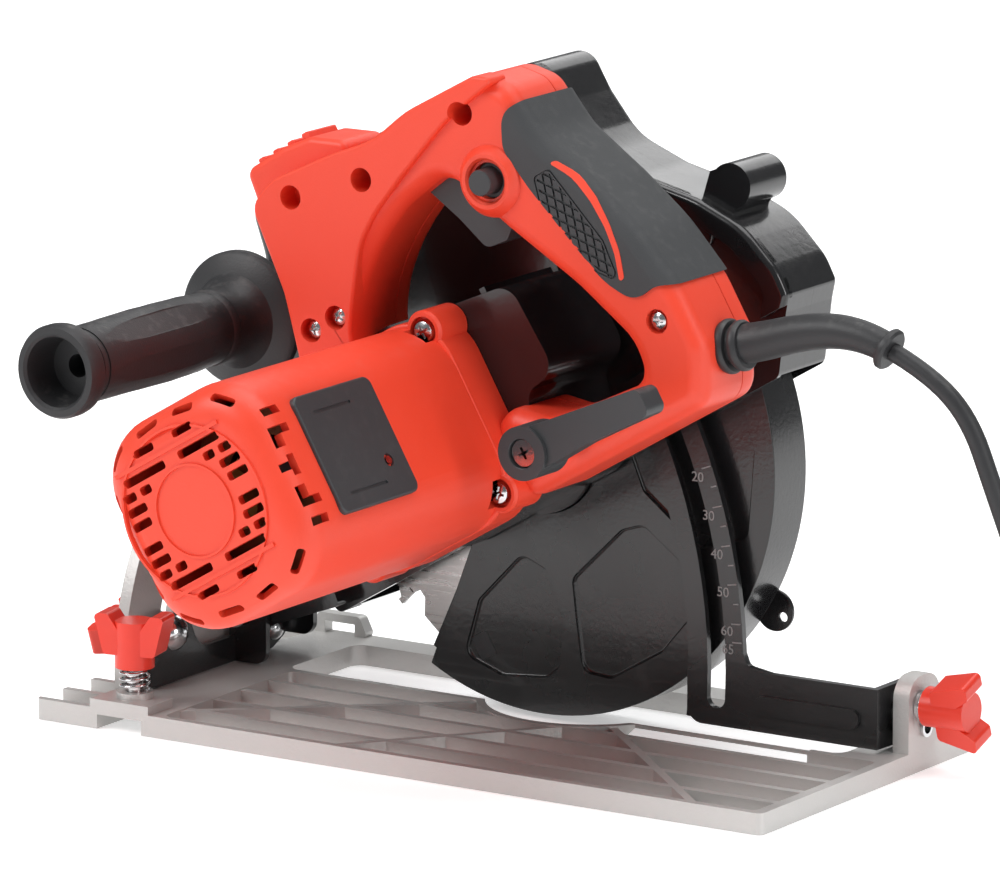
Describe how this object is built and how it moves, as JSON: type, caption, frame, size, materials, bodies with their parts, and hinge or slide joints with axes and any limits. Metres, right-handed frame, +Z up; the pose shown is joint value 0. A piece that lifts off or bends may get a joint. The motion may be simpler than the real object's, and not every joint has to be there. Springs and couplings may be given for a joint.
{
  "type": "circular saw",
  "caption": "Corded hand-held circular saw with tilting cast base plate, swinging depth arm, retracting lower blade guard and side auxiliary handle",
  "frame": {"origin": "in the sole of the base plate, at the middle of its length and width", "axes": "+X towards the rear of the saw (cord side), +Y from the motor towards the blade side, +Z up from the sole"},
  "size_m": [0.4648, 0.2692, 0.2413],
  "materials": {
    "cast_aluminium": "cast satin",
    "black_steel": "gloss black paint",
    "black_nylon": "glossy black moulded",
    "red_plastic": "fine textured coral red",
    "red_knob": "smooth red",
    "soft_grip": "matt charcoal rubber",
    "rubber_black": "matt black rubber",
    "dark_plastic": "fine textured dark grey",
    "zinc_steel": "bright zinc plate",
    "bright_steel": "turned steel",
    "blade_steel": "circular ground steel",
    "copper_core": "laminated core and winding",
    "brass": "plain"
  },
  "bodies": {
    "base": {"base_plate": "cast_aluminium", "bevel_quadrant": "cast_aluminium", "front_pivot_bolt": "zinc_steel", "rear_pivot_rivet": "zinc_steel", "guide_clamp_spring": "zinc_steel"},
    "guide_clamp": {"guide_clamp_screw": "zinc_steel", "guide_clamp_knob": "red_knob"},
    "bevel_frame": {"front_bracket": "black_steel", "depth_arm": "black_steel", "front_bevel_bolt": "zinc_steel", "rear_bevel_bolt": "zinc_steel", "bevel_washers": "zinc_steel"},
    "front_wing_nut": {"front_wing_nut": "red_knob"},
    "rear_wing_knob": {"rear_wing_knob": "red_knob"},
    "saw_body": {"upper_guard_inner": "black_nylon", "upper_guard_outer": "black_nylon", "gear_case": "black_nylon", "motor_housing": "red_plastic", "handle_left": "red_plastic", "handle_right": "red_plastic", "brush_cover": "dark_plastic", "switch_block": "dark_plastic", "brush_holders": "dark_plastic", "plug_body": "dark_plastic", "brush_cover_screw": "zinc_steel", "housing_screws": "zinc_steel", "handle_screws": "zinc_steel", "depth_lock_bolt": "zinc_steel", "lock_washer": "zinc_steel", "depth_pivot_pin": "zinc_steel", "auxiliary_stud": "zinc_steel", "trigger_pin": "zinc_steel", "stator": "copper_core", "carbon_brushes": "copper_core", "motor_bearings": "bright_steel", "spindle_bearings": "bright_steel", "guard_spring": "bright_steel", "grip_cover": "soft_grip", "strain_relief": "rubber_black", "mains_cord": "rubber_black", "cord_coil": "rubber_black", "auxiliary_handle": "rubber_black", "plug_pins": "brass"},
    "depth_lever": {"depth_lever": "dark_plastic", "lever_screw": "zinc_steel"},
    "blade": {"saw_blade": "blade_steel", "blade_flanges": "bright_steel", "blade_bolt": "bright_steel", "spindle": "bright_steel", "driven_gear": "bright_steel"},
    "armature": {"armature_shaft": "bright_steel", "armature_core": "copper_core", "commutator": "brass", "cooling_fan": "dark_plastic"},
    "lower_guard": {"lower_guard": "black_steel", "guard_stop": "rubber_black"},
    "trigger": {"trigger": "dark_plastic"},
    "lock_off_button": {"lock_off_button": "dark_plastic"},
    "spindle_lock_button": {"spindle_lock_button": "dark_plastic"}
  },
  "joints": [
    {"name": "bevel_tilt", "type": "hinge", "parent": "base", "child": "bevel_frame", "pos_m": [0, 0.036, 0.0152], "axis": [-1, 0, 0], "range_deg": [0, 45]},
    {"name": "depth_swing", "type": "hinge", "parent": "bevel_frame", "child": "saw_body", "pos_m": [-0.12, 0, 0.028], "axis": [0, 1, 0], "range_deg": [0, 29.3]},
    {"name": "guide_clamp_turn", "type": "hinge", "parent": "base", "child": "guide_clamp", "pos_m": [-0.114, -0.062, 0.02], "axis": [0, 0, 1], "range_deg": [0, 360]},
    {"name": "front_wing_nut_turn", "type": "hinge", "parent": "bevel_frame", "child": "front_wing_nut", "pos_m": [-0.14, -0.026, 0.0256], "axis": [-1, 0, 0], "range_deg": [0, 360]},
    {"name": "rear_wing_knob_turn", "type": "hinge", "parent": "bevel_frame", "child": "rear_wing_knob", "pos_m": [0.16, 0.0331, 0.0236], "axis": [1, 0, 0], "range_deg": [0, 360]},
    {"name": "depth_lever_turn", "type": "hinge", "parent": "saw_body", "child": "depth_lever", "pos_m": [0.05342, -0.063, 0.11945], "axis": [0, 1, 0], "range_deg": [0, 60]},
    {"name": "blade_spin", "type": "hinge", "parent": "saw_body", "child": "blade", "pos_m": [0, 0.035, 0.0975], "axis": [0, 1, 0], "continuous": true},
    {"name": "armature_spin", "type": "hinge", "parent": "saw_body", "child": "armature", "pos_m": [-0.0168, -0.09, 0.10841], "axis": [0, 1, 0], "continuous": true},
    {"name": "lower_guard_swing", "type": "hinge", "parent": "saw_body", "child": "lower_guard", "pos_m": [0, 0.026, 0.0975], "axis": [0, -1, 0], "range_deg": [0, 85], "stiffness_Nm_per_rad": 0.5, "springref_deg": -51.57},
    {"name": "trigger_pull", "type": "hinge", "parent": "saw_body", "child": "trigger", "pos_m": [-0.00562, -0.02, 0.20424], "axis": [0, -1, 0], "range_deg": [0, 7.5], "stiffness_Nm_per_rad": 0.4, "springref_deg": -8.59},
    {"name": "lock_off_press", "type": "slide", "parent": "saw_body", "child": "lock_off_button", "axis": [0, 1, 0], "range_m": [0, 0.004], "stiffness_N_per_m": 800, "springref_m": -0.001},
    {"name": "spindle_lock_press", "type": "slide", "parent": "saw_body", "child": "spindle_lock_button", "axis": [0.8634, 0, 0.5045], "range_m": [0, 0.004], "stiffness_N_per_m": 800, "springref_m": -0.001}
  ],
  "couplings": [
    {"joint": "armature_spin", "follows": "blade_spin", "ratio": -4}
  ]
}
